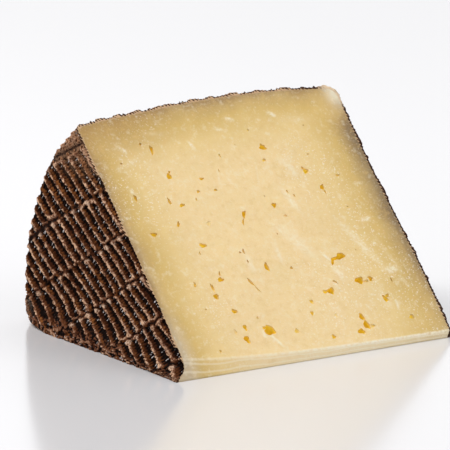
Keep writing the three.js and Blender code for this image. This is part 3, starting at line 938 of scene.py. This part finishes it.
def open_eyes(body):
    """Takes the holes out of the paste by one Boolean difference, which is applied, and marks as sharp
    the edges where they meet the cut."""
    holes = bpy.data.collections.new("eyes")
    bpy.context.scene.collection.children.link(holes)
    for number, row in enumerate(EYES):
        made = eye(number, *row)
        bpy.context.scene.collection.objects.unlink(made)
        holes.objects.link(made)
    opened = body.modifiers.new("eyes", "BOOLEAN")
    opened.operation = "DIFFERENCE"
    opened.solver = "MANIFOLD"
    opened.operand_type = "COLLECTION"
    opened.collection = holes
    bpy.context.view_layer.update()
    mesh = bpy.data.meshes.new_from_object(body.evaluated_get(bpy.context.evaluated_depsgraph_get()))
    body.modifiers.clear()
    body.data = mesh
    mesh.name = "paste"
    mesh.materials.clear()
    mesh.polygons.foreach_set("material_index", np.zeros(len(mesh.polygons), np.int32))
    mesh.set_sharp_from_angle(angle=EYE_SHARP)
    for made in list(holes.objects):
        bpy.data.objects.remove(made)
    bpy.data.collections.remove(holes)


open_eyes(paste)

# The paste's colours by distance from the nearest rind, in millimetres: tan at the rind, cream inside.
# The distances are rounded off within SHADES_BLEND of each other, and the right end's count for less.
PASTE_SHADES = [
    (0.0, (0.4, 0.25, 0.1)),
    (2.0, (0.55, 0.365, 0.13)),
    (6.0, (0.665, 0.455, 0.145)),
    (13.0, (0.805, 0.59, 0.255)),
    (20.0, (0.85, 0.635, 0.315)),
    (28.0, (0.882, 0.662, 0.341)),
]
SHADES_REACH = 30.0
SHADES_BLEND = 5.0
RIGHT_SHARE = 0.72
CLOUD_PALE = (0.87, 0.66, 0.31)
PASTE_TAN = (0.46, 0.275, 0.08)
# The eyes' colours are painted light: a warm tint and a glow for light coming through the paste, and a
# darker tint deeper down for painted shade
EYE_PAINTED_LIGHT = (0.96, 0.7, 0.03)
EYE_PAINTED_SHADE = (0.72, 0.42, 0.0)
EYE_PAINTED_GLOW = (0.055, 0.037, 0.0)
PALE_AND_PAINTED_HIGHLIGHT = (0.94, 0.86, 0.66)
SPECK_PALE = (0.99, 0.96, 0.86)
# Painted shade for the paste: along the right rind and at the foot of the strip
PAINTED_PASTE_SHADE = (0.19, 0.13, 0.066)
PASTE_DEEP = (0.74, 0.5, 0.19)
CREST_PALE = (0.95, 0.87, 0.69)


def paste_finish():
    """Toned by the distance to the nearest rind, with faint clouds, painted shade along the right rind, tan
    parts along the rinds, eyes painted warm and glowing for light coming through the paste and darker deep
    down as painted shade, pale smears and painted highlights beside some eyes, fine pale specks, a pale
    line along the strip's crest, fine lines below it, and painted shade along its foot."""
    made, start, feed = material("cured_paste", Subsurface_Weight=0.12, Subsurface_Scale=0.003,
                                 Subsurface_Radius=(1.0, 0.62, 0.3), Specular_IOR_Level=0.4,
                                 Emission_Strength=1.0)
    place = start.node("ShaderNodeTexCoord").other("Object")
    split = start.node("ShaderNodeSeparateXYZ", Vector=place)
    x = split.other("X") * 1000.0 + MIDDLE_X
    y = split.other("Y") * 1000.0 + MIDDLE_Y
    z = split.other("Z") * 1000.0
    out = y * CUT_OUT + z * CUT_UP
    sunk = y * CUT_UP - z * CUT_OUT
    smear = start.read("smear")
    r = start.maths("SQRT", y * y + z * z)
    from_left = x - (LEFT_END + RIND_DEPTH) + r * r * (LEFT_DISH / DISH_RADIUS**2)
    from_right = (RIGHT_END - RIND_DEPTH) - x - r.step(HOLLOW_FROM, HOLLOW_TO) * RIGHT_HOLLOW
    from_right = from_right * RIGHT_SHARE
    from_side = (CROWN_RADIUS - RIND_DEPTH) - r - (x - CROWN_AT) * (x - CROWN_AT) * BARREL_FALL
    near = from_left.least(from_right, SHADES_BLEND).least(from_side, SHADES_BLEND)
    blotch = place.grain(75.0, 3.0)
    cloud = place.grain(24.0, 2.0)
    fine = place.grain(900.0, 4.0, 0.6)
    dots = place.grain(1700.0, 1.0, 0.5)
    grit = place.grain(420.0, 3.0, 0.65)
    near = near + (blotch - 0.5) * 4.0 + (cloud - 0.5) * 5.0
    stops = [(distance / SHADES_REACH, shade) for distance, shade in PASTE_SHADES]
    colour = start.node("ShaderNodeValToRGB", {"stops": stops}, Fac=near / SHADES_REACH)
    # Painted shade along the right rind: a wide band, and a narrow one at the edge, both darker towards the
    # rind
    painted_right_shade = (from_right + blotch * 3.0).step(8.5, 1.0) * out.step(12.0, 48.0) * out.step(88.0, 76.0)
    rim_shade = (from_right + blotch * 1.5).step(3.4, 0.6) * out.step(8.0, 35.0) * out.step(88.0, 80.0)
    tan = from_side.step(21.0, 1.0) * x.step(-8.0, -38.0)
    corner = from_right.step(5.0, 0.5) * from_side.step(10.5, 1.0)
    crest = start.maths("EXPONENT", (x - LEFT_END) * (-1 / STRIP_FADE))
    crest = crest * (STRIP_LEFT - STRIP_RIGHT) + STRIP_RIGHT
    above = out - crest
    below = above.step(0.2, -0.4)
    inside = sunk.step(0.2, 1.0) * sunk.step(3.8, 3.0) * above.step(0.8, 2.0)
    rightward = x.step(-40.0, 20.0)
    ridge = start.maths("ABSOLUTE", above - 0.1).step(0.8, 0.1) * (0.3 + fine.step(0.3, 0.6) * 0.6)
    part = z / (crest * CUT_UP)
    lines = start.maths("SINE", part * 14.0 + blotch * 7.0).step(0.3, 1.0) * below
    colour = colour.tint(
        (blotch.step(0.45, 0.75) * 0.25, CLOUD_PALE),
        (painted_right_shade * 0.62, PAINTED_PASTE_SHADE),
        (rim_shade * 0.5, PAINTED_PASTE_SHADE),
        (tan * 0.66, PASTE_TAN),
        (corner * 0.8, PALE_AND_PAINTED_HIGHLIGHT),
        (from_left.step(7.0, 1.0) * out.step(28.0, 12.0) * 0.3, PALE_AND_PAINTED_HIGHLIGHT),
        (grit.step(0.5, 0.3) * 0.3, PASTE_DEEP),
        (grit.step(0.52, 0.75) * 0.3, PALE_AND_PAINTED_HIGHLIGHT),
        (dots.step(0.6, 0.72) * (0.12 + cloud.step(0.45, 0.68) * 0.42), SPECK_PALE),
        # Pale smears, with painted highlights at the rims of some eyes
        (smear.step(0.05, 0.95) * (0.3 + fine.step(0.42, 0.6) * 0.5), PALE_AND_PAINTED_HIGHLIGHT),
        # Painted light in the eyes: warm where they are sunk, and darker deeper down as painted shade
        (inside * 0.9, EYE_PAINTED_LIGHT),
        (inside * sunk.step(0.9, 1.9) * 0.7, EYE_PAINTED_SHADE),
        (ridge * (0.4 + rightward * 0.6), CREST_PALE),
        (lines * 0.3 + below * rightward * 0.38, CREST_PALE),
        # Painted shade along the foot of the strip, next to the floor
        (part.step(0.12, 0.0) * below * 0.5, PAINTED_PASTE_SHADE),
    )
    feed("Base Color", colour)
    # A painted glow in the eyes, which stands in for light coming through the paste
    feed("Emission Color", flat(start, (0, 0, 0)).tint((inside, EYE_PAINTED_GLOW)))
    feed("Roughness", 0.5 + fine * 0.2 - dots.step(0.6, 0.7) * 0.25)
    feed("Normal", start.node("ShaderNodeBump", Strength=0.3, Distance=0.0002, Height=fine + dots * 0.5))
    return made


dress(paste, paste_finish())

# The setting, which is no part of the cheese: a plain pale floor, two soft lamps, a white wall behind
# with dimmer ones round about, and the camera.


def floor():
    """A square floor, polished enough to mirror the cheese softly."""
    half = 6.0
    corners = np.array([(-half, -half, 0), (half, -half, 0), (half, half, 0), (-half, half, 0)])
    obj = piece("floor", corners, [np.array([[0, 1, 2, 3]])])
    obj.data.materials.append(material("pale_floor", (0.695, 0.69, 0.702), Roughness=0.16, IOR=1.83)[0])


floor()


def softbox(name, place, target, size, power):
    """A rectangular lamp at a place, turned to a target."""
    lamp = bpy.data.lights.new(name, "AREA")
    lamp.shape = "RECTANGLE"
    lamp.size, lamp.size_y = size
    lamp.energy = power
    obj = bpy.data.objects.new(name, lamp)
    obj.location = place
    obj.rotation_euler = (Vector(target) - Vector(place)).to_track_quat("-Z", "Y").to_euler()
    bpy.context.scene.collection.objects.link(obj)


softbox("key_light", (-0.55, 0.35, 1.0), (0, 0, 0.03), (0.5, 0.5), 9.0)
softbox("fill_light", (0.7, -1.1, 0.9), (0, 0, 0.03), (0.9, 0.9), 6.0)


def studio(bright, dim, turn):
    """A white wall behind the cheese, seen in the floor, and dimmer walls elsewhere: the share of white
    is a smooth step of how far a ray's direction agrees with the turn."""
    world = bpy.data.worlds.new("studio")
    world.use_nodes = True
    start = Value(world.node_tree, None)
    way = start.node("ShaderNodeTexCoord").other("Generated")
    a = np.radians(turn)
    ahead = start.node("ShaderNodeVectorMath", {"operation": "DOT_PRODUCT"},
                       _0=way, _1=(-np.sin(a), np.cos(a), 0)).other("Value")
    shade = flat(start, dim).tint((ahead.step(0.45, 0.85), bright))
    world.node_tree.links.new(shade.socket, world.node_tree.nodes["Background"].inputs["Color"])
    bpy.context.scene.world = world


CAMERA_TURN = -34.111
studio((1.22, 1.22, 1.235), (0.56, 0.56, 0.565), CAMERA_TURN)
bpy.context.scene.view_settings.view_transform = "Standard"

# The camera's place from the wheel's axis, in millimetres, and its direction, in degrees
CAMERA_AT = (-701.88, -982.97, 312.70)
CAMERA_HEIGHT = 12.585
CAMERA_ROLL = 0.293
CAMERA_LENS = 320.0


def camera():
    """Looks along the direction given by its turn and height, with a slight roll. The columns of
    its matrix are its right, its upward, its back and its place."""
    a, e, roll = np.radians([CAMERA_TURN, CAMERA_HEIGHT, CAMERA_ROLL])
    back = np.array([np.sin(a) * np.cos(e), -np.cos(a) * np.cos(e), np.sin(e)])
    right = np.cross(-back, [0, 0, 1])
    right = right / np.linalg.norm(right)
    above = np.cross(back, right)
    turned = np.cos(roll) * right + np.sin(roll) * above
    upward = np.cos(roll) * above - np.sin(roll) * right
    data = bpy.data.cameras.new("camera")
    data.sensor_width = 36.0
    data.lens = CAMERA_LENS
    data.clip_end = 20.0
    obj = bpy.data.objects.new("camera", data)
    place = (np.array(CAMERA_AT) - [MIDDLE_X, MIDDLE_Y, 0]) / 1000
    rows = np.stack([turned, upward, back, place], -1).tolist() + [[0, 0, 0, 1]]
    obj.matrix_world = Matrix(rows)
    bpy.context.scene.collection.objects.link(obj)
    bpy.context.scene.camera = obj


camera()
